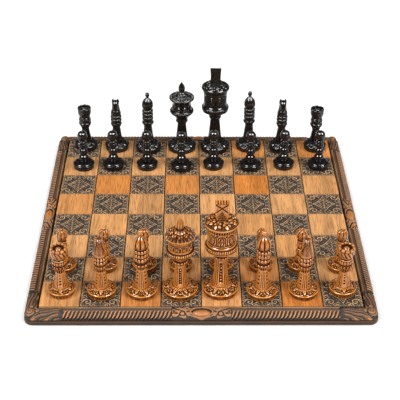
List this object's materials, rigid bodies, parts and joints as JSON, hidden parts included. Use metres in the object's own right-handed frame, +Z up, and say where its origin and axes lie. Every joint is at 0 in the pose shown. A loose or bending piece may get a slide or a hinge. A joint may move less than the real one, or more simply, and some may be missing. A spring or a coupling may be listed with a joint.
{
  "type": "chess set with board",
  "caption": "Turned and carved chess men, honey and black, set out on a framed board with plain and carved squares",
  "frame": {"origin": "centre of the board's underside, on the surface it lies on", "axes": "+Z up; the honey-coloured men stand along -Y and the black men along +Y; +X to the right of the honey side"},
  "size_m": [0.392, 0.392, 0.135],
  "materials": {
    "honey_resin": "antiqued, polished lacquer",
    "black_resin": "polished",
    "oak_light": "satin lacquer, grain along Y",
    "walnut_carved": "stained and carved, high spots rubbed through",
    "walnut_frame": "stained and carved, high spots rubbed through",
    "fillet_wood": "satin lacquer",
    "cabochon_wood": "polished lacquer",
    "plywood": "raw",
    "baize": "felted cloth",
    "steel": "zinc plated"
  },
  "bodies": {
    "board": {"baize": "baize", "backing_board": "plywood", "core_panel": "plywood", "light_squares": "oak_light", "dark_squares": "walnut_carved", "screws": "steel", "mitre_splines": "plywood", "fillet_strips": "fillet_wood", "cabochons": "cabochon_wood", "rail_front": "walnut_frame", "gadroon_front": "walnut_frame", "cartouche_front": "walnut_frame", "rail_right": "walnut_frame", "gadroon_right": "walnut_frame", "cartouche_right": "walnut_frame", "rail_back": "walnut_frame", "gadroon_back": "walnut_frame", "cartouche_back": "walnut_frame", "rail_left": "walnut_frame", "gadroon_left": "walnut_frame", "cartouche_left": "walnut_frame", "corner_front_right": "walnut_frame", "corner_back_right": "walnut_frame", "corner_back_left": "walnut_frame", "corner_front_left": "walnut_frame"},
    "white_rook_a": {"white_rook_a": "honey_resin"},
    "white_knight_b": {"white_knight_b": "honey_resin"},
    "white_bishop_c": {"white_bishop_c": "honey_resin"},
    "white_queen": {"white_queen": "honey_resin"},
    "white_king": {"white_king": "honey_resin"},
    "white_bishop_f": {"white_bishop_f": "honey_resin"},
    "white_knight_g": {"white_knight_g": "honey_resin"},
    "white_rook_h": {"white_rook_h": "honey_resin"},
    "white_pawn_a": {"white_pawn_a": "honey_resin"},
    "white_pawn_b": {"white_pawn_b": "honey_resin"},
    "white_pawn_c": {"white_pawn_c": "honey_resin"},
    "white_pawn_d": {"white_pawn_d": "honey_resin"},
    "white_pawn_e": {"white_pawn_e": "honey_resin"},
    "white_pawn_f": {"white_pawn_f": "honey_resin"},
    "white_pawn_g": {"white_pawn_g": "honey_resin"},
    "white_pawn_h": {"white_pawn_h": "honey_resin"},
    "black_rook_a": {"black_rook_a": "black_resin"},
    "black_knight_b": {"black_knight_b": "black_resin"},
    "black_bishop_c": {"black_bishop_c": "black_resin"},
    "black_queen": {"black_queen": "black_resin"},
    "black_king": {"black_king": "black_resin"},
    "black_bishop_f": {"black_bishop_f": "black_resin"},
    "black_knight_g": {"black_knight_g": "black_resin"},
    "black_rook_h": {"black_rook_h": "black_resin"},
    "black_pawn_a": {"black_pawn_a": "black_resin"},
    "black_pawn_b": {"black_pawn_b": "black_resin"},
    "black_pawn_c": {"black_pawn_c": "black_resin"},
    "black_pawn_d": {"black_pawn_d": "black_resin"},
    "black_pawn_e": {"black_pawn_e": "black_resin"},
    "black_pawn_f": {"black_pawn_f": "black_resin"},
    "black_pawn_g": {"black_pawn_g": "black_resin"},
    "black_pawn_h": {"black_pawn_h": "black_resin"}
  },
  "joints": [
    {"name": "lift_white_rook_a", "type": "slide", "parent": "board", "child": "white_rook_a", "axis": [0, 0, 1], "range_m": [0, 0.15]},
    {"name": "lift_white_knight_b", "type": "slide", "parent": "board", "child": "white_knight_b", "axis": [0, 0, 1], "range_m": [0, 0.15]},
    {"name": "lift_white_bishop_c", "type": "slide", "parent": "board", "child": "white_bishop_c", "axis": [0, 0, 1], "range_m": [0, 0.15]},
    {"name": "lift_white_queen", "type": "slide", "parent": "board", "child": "white_queen", "axis": [0, 0, 1], "range_m": [0, 0.15]},
    {"name": "lift_white_king", "type": "slide", "parent": "board", "child": "white_king", "axis": [0, 0, 1], "range_m": [0, 0.15]},
    {"name": "lift_white_bishop_f", "type": "slide", "parent": "board", "child": "white_bishop_f", "axis": [0, 0, 1], "range_m": [0, 0.15]},
    {"name": "lift_white_knight_g", "type": "slide", "parent": "board", "child": "white_knight_g", "axis": [0, 0, 1], "range_m": [0, 0.15]},
    {"name": "lift_white_rook_h", "type": "slide", "parent": "board", "child": "white_rook_h", "axis": [0, 0, 1], "range_m": [0, 0.15]},
    {"name": "lift_white_pawn_a", "type": "slide", "parent": "board", "child": "white_pawn_a", "axis": [0, 0, 1], "range_m": [0, 0.15]},
    {"name": "lift_white_pawn_b", "type": "slide", "parent": "board", "child": "white_pawn_b", "axis": [0, 0, 1], "range_m": [0, 0.15]},
    {"name": "lift_white_pawn_c", "type": "slide", "parent": "board", "child": "white_pawn_c", "axis": [0, 0, 1], "range_m": [0, 0.15]},
    {"name": "lift_white_pawn_d", "type": "slide", "parent": "board", "child": "white_pawn_d", "axis": [0, 0, 1], "range_m": [0, 0.15]},
    {"name": "lift_white_pawn_e", "type": "slide", "parent": "board", "child": "white_pawn_e", "axis": [0, 0, 1], "range_m": [0, 0.15]},
    {"name": "lift_white_pawn_f", "type": "slide", "parent": "board", "child": "white_pawn_f", "axis": [0, 0, 1], "range_m": [0, 0.15]},
    {"name": "lift_white_pawn_g", "type": "slide", "parent": "board", "child": "white_pawn_g", "axis": [0, 0, 1], "range_m": [0, 0.15]},
    {"name": "lift_white_pawn_h", "type": "slide", "parent": "board", "child": "white_pawn_h", "axis": [0, 0, 1], "range_m": [0, 0.15]},
    {"name": "lift_black_rook_a", "type": "slide", "parent": "board", "child": "black_rook_a", "axis": [0, 0, 1], "range_m": [0, 0.15]},
    {"name": "lift_black_knight_b", "type": "slide", "parent": "board", "child": "black_knight_b", "axis": [0, 0, 1], "range_m": [0, 0.15]},
    {"name": "lift_black_bishop_c", "type": "slide", "parent": "board", "child": "black_bishop_c", "axis": [0, 0, 1], "range_m": [0, 0.15]},
    {"name": "lift_black_queen", "type": "slide", "parent": "board", "child": "black_queen", "axis": [0, 0, 1], "range_m": [0, 0.15]},
    {"name": "lift_black_king", "type": "slide", "parent": "board", "child": "black_king", "axis": [0, 0, 1], "range_m": [0, 0.15]},
    {"name": "lift_black_bishop_f", "type": "slide", "parent": "board", "child": "black_bishop_f", "axis": [0, 0, 1], "range_m": [0, 0.15]},
    {"name": "lift_black_knight_g", "type": "slide", "parent": "board", "child": "black_knight_g", "axis": [0, 0, 1], "range_m": [0, 0.15]},
    {"name": "lift_black_rook_h", "type": "slide", "parent": "board", "child": "black_rook_h", "axis": [0, 0, 1], "range_m": [0, 0.15]},
    {"name": "lift_black_pawn_a", "type": "slide", "parent": "board", "child": "black_pawn_a", "axis": [0, 0, 1], "range_m": [0, 0.15]},
    {"name": "lift_black_pawn_b", "type": "slide", "parent": "board", "child": "black_pawn_b", "axis": [0, 0, 1], "range_m": [0, 0.15]},
    {"name": "lift_black_pawn_c", "type": "slide", "parent": "board", "child": "black_pawn_c", "axis": [0, 0, 1], "range_m": [0, 0.15]},
    {"name": "lift_black_pawn_d", "type": "slide", "parent": "board", "child": "black_pawn_d", "axis": [0, 0, 1], "range_m": [0, 0.15]},
    {"name": "lift_black_pawn_e", "type": "slide", "parent": "board", "child": "black_pawn_e", "axis": [0, 0, 1], "range_m": [0, 0.15]},
    {"name": "lift_black_pawn_f", "type": "slide", "parent": "board", "child": "black_pawn_f", "axis": [0, 0, 1], "range_m": [0, 0.15]},
    {"name": "lift_black_pawn_g", "type": "slide", "parent": "board", "child": "black_pawn_g", "axis": [0, 0, 1], "range_m": [0, 0.15]},
    {"name": "lift_black_pawn_h", "type": "slide", "parent": "board", "child": "black_pawn_h", "axis": [0, 0, 1], "range_m": [0, 0.15]}
  ]
}
